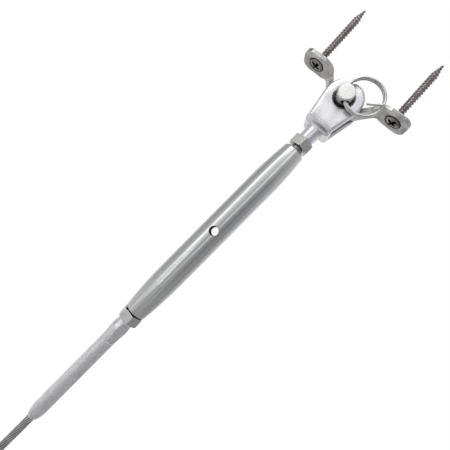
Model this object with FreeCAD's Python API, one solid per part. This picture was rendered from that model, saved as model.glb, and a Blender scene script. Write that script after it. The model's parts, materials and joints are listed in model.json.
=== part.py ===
import FreeCAD, Part
import math
import os

# Swage turnbuckle with a deck saddle, in millimetres.
# The row frame has its origin at the centre of the saddle's mounting plane, with +Z into the
# deck, X through both screws and Y along the clevis pin. The chain hangs below, along -Z.
# The chain frame has its origin on the clevis pin's axis and its Z up the chain. It is leant
# about the pin, as the turnbuckle hangs at a slight angle to its saddle.

V = FreeCAD.Vector
ORIGIN = V(0, 0, 0)
AXIS_X = V(1, 0, 0)
AXIS_Y = V(0, 1, 0)
AXIS_Z = V(0, 0, 1)
# A cutting or joining shape runs this far past the surface that it meets
OVERRUN = 1.0
# An edge closer than this to a plane lies in it
IN_PLANE = 0.001

# Fits between pieces
RUNNING_CLEARANCE = 0.05
FACE_GAP = 0.10
LEAN_DEG = 2.7

# Clevis pin, with a flat head at the back and a cross hole near its front end
PIN_RADIUS = 4.0
PIN_HEAD_RADIUS = 5.8
PIN_HEAD_HEIGHT = 2.2
PIN_PROTRUSION = 5.1
PIN_END_CHAMFER = 0.4
PIN_HOLE_RADIUS = 1.65
PIN_HOLE_FROM_END = 2.7
PIN_HOLE_TURN_DEG = -35.0

# Fork: two ears round the saddle, a flared base, a neck and a right-hand threaded shank
FORK_THICKNESS = 15.0
FORK_SLOT_WIDTH = 9.2
FORK_SLOT_DEPTH = 15.0
FORK_SLOT_CORNER = 1.0
EAR_RADIUS = 9.7
EAR_EDGE_ROUND = 1.6
EAR_COUNTERSINK = 1.6
FORK_BASE_WIDTH = 13.8
FORK_BASE_RISE = 2.6
FORK_SHOULDER_DROP = 18.2
FORK_SHOULDER_ROUND = 1.5
FORK_COVE_DROP = 14.6
FORK_BELLY_RADIUS = 2.2
NECK_TOP_RADIUS = 4.3
NECK_END_RADIUS = 3.7
NECK_LENGTH = 6.6

# M6 thread, drawn as a plain cylinder on its pitch line, in shanks and bores alike
THREAD_RADIUS = 3.0
THREAD_PITCH = 1.0
# From a 60 degree metric thread's crest down to its pitch line, for each pitch
PITCH_LINE_SHARE = 0.3248
THREAD_TIP_CHAMFER = 0.7
THREAD_MOUTH_CHAMFER = 0.4

# Hex locknuts
NUT_ACROSS_FLATS = 10.0
NUT_HEIGHT = 5.0
NUT_BEVEL_DEG = 30.0
UPPER_NUT_TURN_DEG = 36.0
LOWER_NUT_TURN_DEG = 50.0

# Closed body: a tube with tapered ends, tapped at both and drilled across its middle
BODY_LENGTH = 109.0
BODY_RADIUS = 6.75
BODY_END_RADIUS = 5.5
BODY_TAPER_LENGTH = 19.0
BODY_TAPER_BULGE = 0.16
BODY_END_CHAMFER = 0.5
BODY_THREAD_DEPTH = 34.0
BODY_RELIEF = 0.5
BODY_HOLE_RADIUS = 2.25
BODY_HOLE_TURN_DEG = 5.0
UPPER_NUT_GAP = 2.0
LOWER_NUT_GAP = 0.5
UPPER_SHANK_FROM_MIDDLE = 7.0
LOWER_SHANK_FROM_MIDDLE = 7.0

# Swage stud: barrel, pressed wrench flats and a left-hand threaded shank
SWAGE_LENGTH = 64.0
SWAGE_RADIUS = 3.75
SWAGE_NUT_GAP = 0.3
SWAGE_MOUTH_RADIUS = 2.6
SWAGE_MOUTH_LENGTH = 6.0
SWAGE_MOUTH_BULGE = 0.3
SWAGE_BORE_DEPTH = 45.0
FLATS_BULGE_RADIUS = 4.25
FLATS_LENGTH = 12.0
FLATS_FROM_TOP = 0.6
FLATS_PEAK_SHARE = 1 / 3
FLATS_ACROSS = 6.4
FLATS_TURN_DEG = 43.0

# Wire rope: a short stub below the swage, with one gentle bend
WIRE_RADIUS = 2.0
WIRE_BORE_CLEARANCE = 0.03
WIRE_IN_BORE = 20.0
WIRE_ROUTE = [(0.0, 0.0), (0.0, -17.0), (-0.5, -38.0)]
WIRE_ARC_SHARE = 0.45

# Split ring: a coil of nearly two turns with its inner end bent across
RING_WIRE_RADIUS = 0.62
RING_RADIUS = 9.0
RING_PITCH = 1.36
RING_START_DEG = 265.0
RING_TURN_DEG = 638.0
RING_TAIL_BEND_RADIUS = 1.5
RING_TAIL_BEND_DEG = 72.0
RING_TAIL_LENGTH = 6.4
RING_LEAN_DEG = 5.0

# Deck saddle: a strap bent round the pin, with a wing tab at each side
STRAP_THICKNESS = 2.0
STRAP_WIDTH = 8.8
LOOP_RADIUS = 6.3
PIN_DROP = 10.4
PIN_ASIDE = 0.9
ARM_SLOPE_DEG = 51.0
ARM_BEND_RADIUS = 3.0
WIDEN_BEFORE_BEND = 4.5
WIDEN_AFTER_BEND = 2.0
TAB_WIDTH = 13.4
TAB_REACH = 30.7
TAB_CORNER_RADIUS = 4.6

# Wood screws, with raised countersunk heads
SCREW_INSET = 7.5
SCREW_LENGTH = 37.2
SCREW_RADIUS = 1.9
SCREW_HOLE_RADIUS = 2.3
SCREW_HEAD_RADIUS = 4.0
SCREW_HEAD_RISE = 1.3
SCREW_TIP_LENGTH = 6.0
SCREW_TIP_RADIUS = 0.2
SCREW_HEAD_GAP = 0.35
RECESS_LENGTH = 4.6
RECESS_WIDTH = 1.2
RECESS_DEPTH = 2.0
RECESS_TURN_DEG = 25.0

# Places and radii worked out from the sizes above
# The pin has rolled a little way along the loop, towards the side that the chain leans to
PIN_CENTRE = V(-PIN_ASIDE, 0, -PIN_DROP)
PIN_PLAY = LOOP_RADIUS - PIN_RADIUS - FACE_GAP
LOOP_CENTRE = V(0, 0, math.sqrt(PIN_PLAY ** 2 - PIN_ASIDE ** 2) - PIN_DROP)
SCREW_SPACING = 2 * (TAB_REACH - SCREW_INSET)
FORK_HALF = FORK_THICKNESS / 2
PIN_FRONT = -FORK_HALF - PIN_PROTRUSION
PIN_SEAT = FORK_HALF + FACE_GAP
NECK_END = -FORK_SHOULDER_DROP - NECK_LENGTH
UPPER_NUT_TOP = NECK_END - FACE_GAP
UPPER_NUT_BOTTOM = UPPER_NUT_TOP - NUT_HEIGHT
BODY_TOP = UPPER_NUT_BOTTOM - UPPER_NUT_GAP
BODY_MIDDLE = BODY_TOP - BODY_LENGTH / 2
BODY_BOTTOM = BODY_TOP - BODY_LENGTH
LOWER_NUT_TOP = BODY_BOTTOM - LOWER_NUT_GAP
LOWER_NUT_BOTTOM = LOWER_NUT_TOP - NUT_HEIGHT
SWAGE_TOP = LOWER_NUT_BOTTOM - SWAGE_NUT_GAP
SWAGE_MOUTH = SWAGE_TOP - SWAGE_LENGTH
SHANK_RADIUS = THREAD_RADIUS - PITCH_LINE_SHARE * THREAD_PITCH
BORE_RADIUS = SHANK_RADIUS + RUNNING_CLEARANCE


def hang(shape):
    # From the chain frame to the row frame
    leant = shape.copy()
    leant.rotate(ORIGIN, AXIS_Y, LEAN_DEG)
    leant.translate(PIN_CENTRE)
    return leant


def turned(shape, angle_deg):
    copy = shape.copy()
    copy.rotate(ORIGIN, AXIS_Z, angle_deg)
    return copy


def rod(radius, z_low, z_high):
    return Part.makeCylinder(radius, z_high - z_low, V(0, 0, z_low))


def cross_rod(radius, y_low, y_high):
    return Part.makeCylinder(radius, y_high - y_low, V(0, y_low, 0), AXIS_Y)


def line(a, b):
    return Part.LineSegment(a, b).toShape()


def arc(a, middle, b):
    return Part.Arc(a, middle, b).toShape()


def bowed(a, b, offset):
    # An arc whose middle stands off the straight line from a to b by an offset
    return arc(a, (a + b) / 2 + offset, b)


def at_angle(radius, angle):
    return V(radius * math.cos(angle), 0, radius * math.sin(angle))


def below_y(radius, angle):
    return V(0, radius * math.cos(angle), -radius * math.sin(angle))


def to_side(point, side):
    return V(side * point.x, 0, point.z)


def outline_face(edges):
    return Part.Face(Part.Wire(Part.__sortEdges__(edges)))


def prism(edges, depth_axis, depth):
    # A closed outline of edges, pushed equally to both sides along an axis
    face = outline_face(edges)
    face.translate(depth_axis * (-depth / 2))
    return face.extrude(depth_axis * depth)


def lines_through(points):
    # Points are (radius, height) pairs beside the Z axis
    corners = [V(radius, 0, height) for radius, height in points]
    return [line(a, b) for a, b in zip(corners, corners[1:])]


def revolve(edges):
    return outline_face(edges).revolve(ORIGIN, AXIS_Z, 360)


def ear_outline():
    # Rounded shoulders, straight base sides, then tangents to the round end
    half = FORK_BASE_WIDTH / 2
    base = -FORK_SHOULDER_DROP
    bend = FORK_SHOULDER_ROUND
    inset = bend * (1 - math.sqrt(0.5))
    corner = V(half, 0, base + FORK_BASE_RISE)
    reach = math.hypot(corner.x, corner.z)
    tangent = math.atan2(corner.z, corner.x) + math.acos(EAR_RADIUS / reach)
    ear_end = at_angle(EAR_RADIUS, tangent)
    edges = [arc(ear_end, V(0, 0, EAR_RADIUS), to_side(ear_end, -1))]
    for side in (-1, 1):
        round_top = V(side * half, 0, base + bend)
        round_middle = V(side * (half - inset), 0, base + inset)
        round_end = V(side * (half - bend), 0, base)
        edges.append(line(to_side(ear_end, side), to_side(corner, side)))
        edges.append(line(to_side(corner, side), round_top))
        edges.append(arc(round_top, round_middle, round_end))
    edges.append(line(V(bend - half, 0, base), V(half - bend, 0, base)))
    return edges


def cove_outline():
    # Side view of the fork: flat outer faces that swell and then cove in to the neck
    top = EAR_RADIUS + OVERRUN
    base = -FORK_SHOULDER_DROP
    # The belly and the hollow turn by the same angle and meet on one tangent
    inset = FORK_HALF - NECK_TOP_RADIUS
    drop = FORK_SHOULDER_DROP - FORK_COVE_DROP
    turn = 2 * math.atan2(inset, drop)
    belly = FORK_BELLY_RADIUS
    hollow = drop / math.sin(turn) - belly
    belly_start = V(0, FORK_HALF, -FORK_COVE_DROP)
    hollow_end = V(0, NECK_TOP_RADIUS, base)
    belly_centre = belly_start - AXIS_Y * belly
    hollow_centre = hollow_end + AXIS_Y * hollow
    outer_points = [
        V(0, FORK_HALF, top),
        belly_start,
        belly_centre + below_y(belly, turn / 2),
        belly_centre + below_y(belly, turn),
        hollow_centre - below_y(hollow, turn / 2),
        hollow_end,
    ]
    edges = []
    for side in (-1, 1):
        points = [V(0, side * point.y, point.z) for point in outer_points]
        edges.append(line(points[0], points[1]))
        edges.append(arc(points[1], points[2], points[3]))
        edges.append(arc(points[3], points[4], points[5]))
    edges.append(line(V(0, -FORK_HALF, top), V(0, FORK_HALF, top)))
    edges.append(line(V(0, -NECK_TOP_RADIUS, base), V(0, NECK_TOP_RADIUS, base)))
    return edges


def edges_across_y(shape):
    # Edges that lie flat in a plane across the Y axis
    return [edge for edge in shape.Edges if edge.BoundBox.YLength < IN_PLANE]


def fork_slot():
    width = 2 * EAR_RADIUS + 2 * OVERRUN
    height = FORK_SLOT_DEPTH + EAR_RADIUS + OVERRUN
    corner = V(-width / 2, -FORK_SLOT_WIDTH / 2, -FORK_SLOT_DEPTH)
    slot = Part.makeBox(width, FORK_SLOT_WIDTH, height, corner)
    floor = -FORK_SLOT_DEPTH + IN_PLANE
    bottom = [edge for edge in edges_across_y(slot) if edge.BoundBox.ZMax < floor]
    return slot.makeFillet(FORK_SLOT_CORNER, bottom)


def fork():
    block = prism(ear_outline(), AXIS_Y, FORK_THICKNESS)
    block = block.makeFillet(EAR_EDGE_ROUND, edges_across_y(block))
    block = block.common(prism(cove_outline(), AXIS_X, 2 * EAR_RADIUS + 2 * OVERRUN))
    block = block.cut(fork_slot())
    hole_radius = PIN_RADIUS + RUNNING_CLEARANCE
    block = block.cut(cross_rod(hole_radius, -FORK_THICKNESS, FORK_THICKNESS))
    mouth_radius = hole_radius + EAR_COUNTERSINK
    for side in (-1, 1):
        mouth = V(0, side * FORK_HALF, 0)
        inwards = AXIS_Y * -side
        sink = Part.makeCone(mouth_radius, hole_radius, EAR_COUNTERSINK, mouth, inwards)
        block = block.cut(sink)
    tip = BODY_MIDDLE + UPPER_SHANK_FROM_MIDDLE
    joined = -FORK_SHOULDER_DROP + OVERRUN
    neck = revolve(lines_through([
        (0, joined),
        (NECK_TOP_RADIUS, joined),
        (NECK_TOP_RADIUS, -FORK_SHOULDER_DROP),
        (NECK_END_RADIUS, NECK_END),
        (SHANK_RADIUS, NECK_END),
        (SHANK_RADIUS, tip + THREAD_TIP_CHAMFER),
        (SHANK_RADIUS - THREAD_TIP_CHAMFER, tip),
        (0, tip),
        (0, joined),
    ]))
    return block.fuse(neck).removeSplitter()


def clevis_pin():
    shank = cross_rod(PIN_RADIUS, PIN_FRONT, PIN_SEAT)
    front = [edge for edge in edges_across_y(shank) if edge.BoundBox.YMax < 0]
    shank = shank.makeChamfer(PIN_END_CHAMFER, front)
    head = cross_rod(PIN_HEAD_RADIUS, PIN_SEAT, PIN_SEAT + PIN_HEAD_HEIGHT)
    back_face = PIN_SEAT + PIN_HEAD_HEIGHT - IN_PLANE
    rim = [edge for edge in edges_across_y(head) if edge.BoundBox.YMin > back_face]
    head = head.makeFillet(PIN_END_CHAMFER, rim)
    pin = shank.fuse(head).removeSplitter()
    hole = rod(PIN_HOLE_RADIUS, -PIN_RADIUS - OVERRUN, PIN_RADIUS + OVERRUN)
    hole.rotate(ORIGIN, AXIS_Y, PIN_HOLE_TURN_DEG)
    hole.translate(V(0, PIN_FRONT + PIN_HOLE_FROM_END, 0))
    return pin.cut(hole)


def ring_path():
    # A rising coil about +Z that crosses the pin at -X half way up, then a bent tail
    height = RING_PITCH * RING_TURN_DEG / 360
    coil = Part.makeHelix(RING_PITCH, height, RING_RADIUS, 0, True)
    coil.rotate(ORIGIN, AXIS_Z, RING_START_DEG)
    turns_to_middle = (RING_START_DEG - 180) / 360 + 1 / 2
    coil.translate(AXIS_Z * (-RING_PITCH * turns_to_middle))
    last = coil.Edges[-1]
    end = last.valueAt(last.LastParameter)
    ahead = last.tangentAt(last.LastParameter).normalize()
    inward = V(-end.x, -end.y, 0).normalize()
    bend = math.radians(RING_TAIL_BEND_DEG)
    radius = RING_TAIL_BEND_RADIUS

    def along_bend(angle):
        forward = ahead * (radius * math.sin(angle))
        return end + forward + inward * (radius * (1 - math.cos(angle)))

    tail_heading = ahead * math.cos(bend) + inward * math.sin(bend)
    bend_end = along_bend(bend)
    tail = line(bend_end, bend_end + tail_heading * RING_TAIL_LENGTH)
    return Part.Wire(coil.Edges + [arc(end, along_bend(bend / 2), bend_end), tail])


def split_ring():
    path = ring_path()
    first = path.Edges[0]
    start = first.valueAt(first.FirstParameter)
    heading = first.tangentAt(first.FirstParameter)
    section = Part.Wire(Part.Circle(start, heading, RING_WIRE_RADIUS).toShape())
    ring = path.makePipeShell([section], True, True)
    # The arc inside the pin is centred on the hole's axis
    sagitta = RING_RADIUS - math.sqrt(RING_RADIUS ** 2 - PIN_RADIUS ** 2)
    ring.translate(V(RING_RADIUS - sagitta / 2, 0, 0))
    ring.rotate(ORIGIN, AXIS_X, 90)
    ring.rotate(ORIGIN, AXIS_Z, RING_LEAN_DEG)
    ring.rotate(ORIGIN, AXIS_Y, PIN_HOLE_TURN_DEG)
    ring.translate(V(0, PIN_FRONT + PIN_HOLE_FROM_END, 0))
    return ring


def arm_away():
    # The direction out of the right arm's lower face
    slope = math.radians(ARM_SLOPE_DEG)
    return V(math.sin(slope), 0, -math.cos(slope))


def arm_bend():
    # The centre of the bend between the right arm and its tab, below the tab
    away = arm_away()
    along = V(-away.z, 0, away.x)
    start = LOOP_CENTRE + away * (LOOP_RADIUS + STRAP_THICKNESS + ARM_BEND_RADIUS)
    rise = -STRAP_THICKNESS - ARM_BEND_RADIUS - start.z
    return start + along * (rise / along.z)


def strap_side(loop_radius, bend_radius, tab_height):
    # One face of the strap, from the loop's lowest point to the right tab's end
    away = arm_away()
    bend = arm_bend()
    bend_middle = math.pi / 2 + math.radians(ARM_SLOPE_DEG) / 2
    return [
        LOOP_CENTRE - AXIS_Z * loop_radius,
        LOOP_CENTRE + away * loop_radius,
        bend - away * bend_radius,
        bend + at_angle(bend_radius, bend_middle),
        bend + AXIS_Z * bend_radius,
        V(TAB_REACH, 0, tab_height),
    ]


def strap_outline():
    upper = strap_side(LOOP_RADIUS, ARM_BEND_RADIUS + STRAP_THICKNESS, 0)
    lower = strap_side(LOOP_RADIUS + STRAP_THICKNESS, ARM_BEND_RADIUS, -STRAP_THICKNESS)
    edges = []
    for bottom, arm_start, arm_end, bend_middle, tab_start, tab_end in (upper, lower):
        edges.append(arc(to_side(arm_start, -1), bottom, arm_start))
        for side in (-1, 1):
            bend_start = to_side(arm_end, side)
            bend_end = to_side(tab_start, side)
            edges.append(line(to_side(arm_start, side), bend_start))
            edges.append(arc(bend_start, to_side(bend_middle, side), bend_end))
            edges.append(line(bend_end, to_side(tab_end, side)))
    for side in (-1, 1):
        edges.append(line(to_side(upper[-1], side), to_side(lower[-1], side)))
    return edges


def plan_outline():
    # Seen from above: a narrow strap that widens into tabs with rounded corners
    half_strap = STRAP_WIDTH / 2
    half_tab = TAB_WIDTH / 2
    bend_x = arm_bend().x
    corner = TAB_CORNER_RADIUS
    inset = corner * (1 - math.sqrt(0.5))
    edges = []
    for side in (-1, 1):
        for edge_side in (-1, 1):
            start = V(side * (bend_x - WIDEN_BEFORE_BEND), edge_side * half_strap, 0)
            wide = V(side * (bend_x + WIDEN_AFTER_BEND), edge_side * half_tab, 0)
            side_end = V(side * (TAB_REACH - corner), edge_side * half_tab, 0)
            middle = V(side * (TAB_REACH - inset), edge_side * (half_tab - inset), 0)
            end_start = V(side * TAB_REACH, edge_side * (half_tab - corner), 0)
            edges.append(line(V(0, edge_side * half_strap, 0), start))
            edges.append(line(start, wide))
            edges.append(line(wide, side_end))
            edges.append(arc(side_end, middle, end_start))
            edges.append(line(end_start, V(side * TAB_REACH, 0, 0)))
    return edges


def deck_saddle():
    strap = prism(strap_outline(), AXIS_Y, TAB_WIDTH)
    depth = 2 * (PIN_DROP + LOOP_RADIUS + STRAP_THICKNESS)
    strap = strap.common(prism(plan_outline(), AXIS_Z, depth))
    sink_radius = SCREW_HEAD_RADIUS + SCREW_HEAD_GAP + FACE_GAP
    for side in (-1, 1):
        hole = rod(SCREW_HOLE_RADIUS, -STRAP_THICKNESS - OVERRUN, OVERRUN)
        sink = Part.makeCone(sink_radius, 0, sink_radius, V(0, 0, -STRAP_THICKNESS))
        for cutter in (hole, sink):
            cutter.translate(V(side * SCREW_SPACING / 2, 0, 0))
            strap = strap.cut(cutter)
    return strap


def screw(side):
    rim_height = -STRAP_THICKNESS + SCREW_HEAD_GAP
    crown_height = rim_height - SCREW_HEAD_RISE
    tip = crown_height + SCREW_LENGTH
    rim = V(SCREW_HEAD_RADIUS, 0, rim_height)
    # The raised face is part of a sphere through the rim and the crown
    dome_radius = (SCREW_HEAD_RADIUS ** 2 + SCREW_HEAD_RISE ** 2) / (2 * SCREW_HEAD_RISE)
    half = math.asin(SCREW_HEAD_RADIUS / dome_radius) / 2
    crown = V(0, 0, crown_height)
    half_way = crown + AXIS_Z * dome_radius + at_angle(dome_radius, half - math.pi / 2)
    edges = lines_through([
        (SCREW_HEAD_RADIUS, rim_height),
        (SCREW_RADIUS, rim_height + SCREW_HEAD_RADIUS - SCREW_RADIUS),
        (SCREW_RADIUS, tip - SCREW_TIP_LENGTH),
        (SCREW_TIP_RADIUS, tip),
        (0, tip),
        (0, crown_height),
    ])
    body = revolve(edges + [arc(crown, half_way, rim)])
    for turn in (0, 90):
        slot = Part.makeBox(RECESS_LENGTH, RECESS_WIDTH, RECESS_DEPTH + OVERRUN)
        slot.translate(V(-RECESS_LENGTH / 2, -RECESS_WIDTH / 2, crown_height - OVERRUN))
        body = body.cut(turned(slot, turn + RECESS_TURN_DEG))
    body.translate(V(side * SCREW_SPACING / 2, 0, 0))
    return body


def locknut(z_low, turn_deg):
    z_high = z_low + NUT_HEIGHT
    flat = NUT_ACROSS_FLATS / 2
    corner = NUT_ACROSS_FLATS / math.sqrt(3)
    bevel = (corner - flat) * math.tan(math.radians(NUT_BEVEL_DEG))
    first = V(corner, 0, z_low)
    turns = [FreeCAD.Rotation(AXIS_Z, turn_deg + 60 * i) for i in range(7)]
    corners = [turn.multVec(first) for turn in turns]
    hexagon = Part.Face(Part.makePolygon(corners)).extrude(AXIS_Z * NUT_HEIGHT)
    mouth = BORE_RADIUS + THREAD_MOUTH_CHAMFER
    barrel = revolve(lines_through([
        (mouth, z_low),
        (flat, z_low),
        (corner, z_low + bevel),
        (corner, z_high - bevel),
        (flat, z_high),
        (mouth, z_high),
        (BORE_RADIUS, z_high - THREAD_MOUTH_CHAMFER),
        (BORE_RADIUS, z_low + THREAD_MOUTH_CHAMFER),
        (mouth, z_low),
    ]))
    return hexagon.common(barrel)


def turnbuckle_body():
    mouth = BORE_RADIUS + THREAD_MOUTH_CHAMFER
    edges = []
    for inwards, end in ((-1, BODY_TOP), (1, BODY_BOTTOM)):
        taper_start = V(BODY_END_RADIUS, 0, end + inwards * BODY_END_CHAMFER)
        shoulder = V(BODY_RADIUS, 0, end + inwards * BODY_TAPER_LENGTH)
        edges += lines_through([
            (BORE_RADIUS, end + inwards * THREAD_MOUTH_CHAMFER),
            (mouth, end),
            (BODY_END_RADIUS - BODY_END_CHAMFER, end),
            (taper_start.x, taper_start.z),
        ])
        edges.append(bowed(taper_start, shoulder, AXIS_X * BODY_TAPER_BULGE))
    edges += lines_through([
        (BODY_RADIUS, BODY_TOP - BODY_TAPER_LENGTH),
        (BODY_RADIUS, BODY_BOTTOM + BODY_TAPER_LENGTH),
    ])
    edges += lines_through([
        (BORE_RADIUS, BODY_TOP - THREAD_MOUTH_CHAMFER),
        (BORE_RADIUS, BODY_BOTTOM + THREAD_MOUTH_CHAMFER),
    ])
    body = revolve(edges)
    relief_low = BODY_BOTTOM + BODY_THREAD_DEPTH
    relief_high = BODY_TOP - BODY_THREAD_DEPTH
    body = body.cut(rod(BORE_RADIUS + BODY_RELIEF, relief_low, relief_high))
    hole = cross_rod(BODY_HOLE_RADIUS, -BODY_RADIUS - OVERRUN, BODY_RADIUS + OVERRUN)
    hole.translate(V(0, 0, BODY_MIDDLE))
    return body.cut(turned(hole, BODY_HOLE_TURN_DEG))


def swage_stud():
    tip = BODY_MIDDLE - LOWER_SHANK_FROM_MIDDLE
    flats_top = SWAGE_TOP - FLATS_FROM_TOP
    flats_low = flats_top - FLATS_LENGTH
    wire_bore = WIRE_RADIUS + WIRE_BORE_CLEARANCE
    mouth_start = V(SWAGE_RADIUS, 0, SWAGE_MOUTH + SWAGE_MOUTH_LENGTH)
    mouth_end = V(SWAGE_MOUTH_RADIUS, 0, SWAGE_MOUTH)
    edges = lines_through([
        (0, tip),
        (SHANK_RADIUS - THREAD_TIP_CHAMFER, tip),
        (SHANK_RADIUS, tip - THREAD_TIP_CHAMFER),
        (SHANK_RADIUS, SWAGE_TOP),
        (SWAGE_RADIUS, SWAGE_TOP),
        (FLATS_BULGE_RADIUS, flats_top - FLATS_LENGTH * FLATS_PEAK_SHARE),
        (SWAGE_RADIUS, flats_low),
        (mouth_start.x, mouth_start.z),
    ])
    edges.append(bowed(mouth_start, mouth_end, AXIS_X * SWAGE_MOUTH_BULGE))
    edges += lines_through([
        (mouth_end.x, mouth_end.z),
        (wire_bore, SWAGE_MOUTH),
        (wire_bore, SWAGE_MOUTH + SWAGE_BORE_DEPTH),
        (0, SWAGE_MOUTH + SWAGE_BORE_DEPTH),
        (0, tip),
    ])
    stud = revolve(edges)
    size = 4 * FLATS_BULGE_RADIUS
    for turn in (0, 180):
        corner = V(-size / 2, FLATS_ACROSS / 2, flats_low)
        cutter = Part.makeBox(size, size, FLATS_LENGTH, corner)
        stud = stud.cut(turned(cutter, FLATS_TURN_DEG + turn))
    return stud


def wire_rope():
    # Straight out of the swage, round one gentle bend, then straight to its cut end
    mouth, corner, end = [V(x, 0, SWAGE_MOUTH + z) for x, z in WIRE_ROUTE]
    into = (corner - mouth).normalize()
    out = (end - corner).normalize()
    half_turn = into.getAngle(out) / 2
    trim = WIRE_ARC_SHARE * min((corner - mouth).Length, (end - corner).Length)
    bend_radius = trim / math.tan(half_turn)
    top = mouth - into * WIRE_IN_BORE
    bend_start = corner - into * trim
    bend_end = corner + out * trim
    centre = corner + (out - into).normalize() * (bend_radius / math.cos(half_turn))
    section = Part.Face(Part.Wire(Part.Circle(bend_start, into, WIRE_RADIUS).toShape()))
    bend = section.revolve(centre, into.cross(out), math.degrees(2 * half_turn))
    first = Part.makeCylinder(WIRE_RADIUS, (bend_start - top).Length, top, into)
    last = Part.makeCylinder(WIRE_RADIUS, (end - bend_end).Length, bend_end, out)
    return first.fuse([bend, last]).removeSplitter()


def export(name, shape):
    solid = shape.Solids[0]
    if len(shape.Solids) != 1 or not solid.isValid():
        raise ValueError(name + " is not one valid solid")
    solid.exportStep("parts/" + name + ".step")
    print("%-16s %9.1f mm3" % (name, solid.Volume))


def main():
    os.makedirs("parts", exist_ok=True)
    export("deck_saddle", deck_saddle())
    export("screw_left", screw(-1))
    export("screw_right", screw(1))
    export("fork", hang(fork()))
    export("clevis_pin", hang(clevis_pin()))
    export("split_ring", hang(split_ring()))
    export("upper_locknut", hang(locknut(UPPER_NUT_BOTTOM, UPPER_NUT_TURN_DEG)))
    export("turnbuckle_body", hang(turnbuckle_body()))
    export("lower_locknut", hang(locknut(LOWER_NUT_BOTTOM, LOWER_NUT_TURN_DEG)))
    export("swage_stud", hang(swage_stud()))
    export("wire_rope", hang(wire_rope()))


main()
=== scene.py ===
import json
import math
import bmesh
import bpy
from bpy.props import FloatProperty, FloatVectorProperty, IntProperty, PointerProperty
from mathutils import Matrix, Vector


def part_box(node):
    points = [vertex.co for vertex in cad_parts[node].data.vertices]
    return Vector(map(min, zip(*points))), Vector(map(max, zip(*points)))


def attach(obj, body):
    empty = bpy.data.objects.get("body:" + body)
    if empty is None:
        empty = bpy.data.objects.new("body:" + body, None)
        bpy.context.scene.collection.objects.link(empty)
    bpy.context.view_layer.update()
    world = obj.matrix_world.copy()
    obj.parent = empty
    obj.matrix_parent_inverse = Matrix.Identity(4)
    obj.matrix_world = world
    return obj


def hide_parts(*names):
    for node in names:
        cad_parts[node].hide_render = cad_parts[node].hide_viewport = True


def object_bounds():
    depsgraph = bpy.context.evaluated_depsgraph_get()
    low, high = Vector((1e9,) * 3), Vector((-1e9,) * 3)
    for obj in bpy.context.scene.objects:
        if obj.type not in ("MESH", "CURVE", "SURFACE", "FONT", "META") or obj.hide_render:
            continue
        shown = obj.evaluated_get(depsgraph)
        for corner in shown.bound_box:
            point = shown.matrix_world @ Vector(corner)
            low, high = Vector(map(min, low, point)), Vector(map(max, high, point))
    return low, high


bl_info = {
    "name": "Swage turnbuckle",
    "version": (1, 0, 0),
    "blender": (4, 5, 0),
    "location": "View3D > Sidebar > Turnbuckle",
    "description": "Dresses a swage turnbuckle with its wire, threads, screws and steel finishes",
    "category": "Object",
}

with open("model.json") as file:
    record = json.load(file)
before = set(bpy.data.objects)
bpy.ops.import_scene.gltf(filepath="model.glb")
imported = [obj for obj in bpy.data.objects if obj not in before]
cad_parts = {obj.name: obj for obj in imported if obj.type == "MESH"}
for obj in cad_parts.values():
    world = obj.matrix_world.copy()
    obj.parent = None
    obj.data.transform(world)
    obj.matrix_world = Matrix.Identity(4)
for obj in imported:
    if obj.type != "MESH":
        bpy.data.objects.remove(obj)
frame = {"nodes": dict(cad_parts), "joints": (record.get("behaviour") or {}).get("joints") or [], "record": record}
loaded_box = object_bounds()
joints = {joint["name"]: joint for joint in frame["joints"]}
mounts = {mount["name"]: mount for mount in frame["record"]["mounts"]}
MM = 0.001

# The chain hangs from the clevis pin and leans a little, so its pieces share one turned frame
PIN_CENTRE = Vector(joints["toggle_swing"]["pos_m"])
CHAIN_UP = -Vector(joints["body_turn"]["axis"]).normalized()
CHAIN_SIDE = Vector((CHAIN_UP.z, 0, -CHAIN_UP.x))
AXIS_Y = Vector((0, 1, 0))
CHAIN_LEAN = math.atan2(CHAIN_UP.x, CHAIN_UP.z)
SCREW_SPACING = mounts["deck_screws"]["dims"]["pcd_mm"] * MM
SCREW_RADIUS = mounts["deck_screws"]["dims"]["stud_r_mm"] * MM
WIRE_RADIUS = mounts["wire_end"]["dims"]["r_mm"] * MM

# Heights along the chain, from the clevis pin's axis
NECK_END = -24.8 * MM
BODY_MIDDLE = -86.4 * MM
SWAGE_TOP = -146.7 * MM

# The wire's route, sideways and along the chain
WIRE_ROUTE = [(0, -210.7 * MM), (0, -227.7 * MM), (-0.5 * MM, -248.7 * MM)]

# The strand: points along its centreline, sides of each wire, and the inner layer's lay as a
# share of the outer one's, wound the other way
CENTRELINE_POINTS = 72
WIRE_SIDES = 12
INNER_LAY = -0.5

# Half of a ridge's width as a share of its pitch, and what a ridge shrinks to at its tip
SHANK_RIDGE = 0.46
SCREW_RIDGE = 0.36
RIDGE_TIP = 0.1

# How finely the screws' blanks are turned
DOME_STEPS = 12
LIP_STEPS = 4
TURN_STEPS = 64
MERGE_DISTANCE = 0.002 * MM

# The blunt point of a screw, how far short of it the ridge ends, how much the recess narrows
# from the head's crown to its floor, and the angle past which an edge stays sharp
POINT_RADIUS = 0.1 * MM
RIDGE_GAP = 0.3 * MM
RECESS_TAPER = 0.6
SHARP_ANGLE = math.radians(32)

# Cloud values that count as clean and as fully marked, and the specks in among the clouds
CLEAN = 0.36
MARKED = 0.64
SPECKS_PER_CLOUD = 6
SPECK_RADIUS = 0.09

# The marks' share in a steel's roughness, with its grain for the rest
MARKS_SHARE = 0.6

# How fast the painted shade in crevices darkens, how sharply an edge counts as rubbed, and how bright it gets
CREVICE_SHADE_POWER = 3.0
EDGE_GAIN = 25.0
RUBBED_GAIN = 0.6

# How far past its radius the painted shade in the body's cross hole reaches, as a share of that radius
HOLE_SHADE_MARGIN = 1.08

# The floor's own grey, and how bright it comes out under the lamps and the room's light
FLOOR_GREY = 0.55
FLOOR_LIT = 0.38

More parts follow.
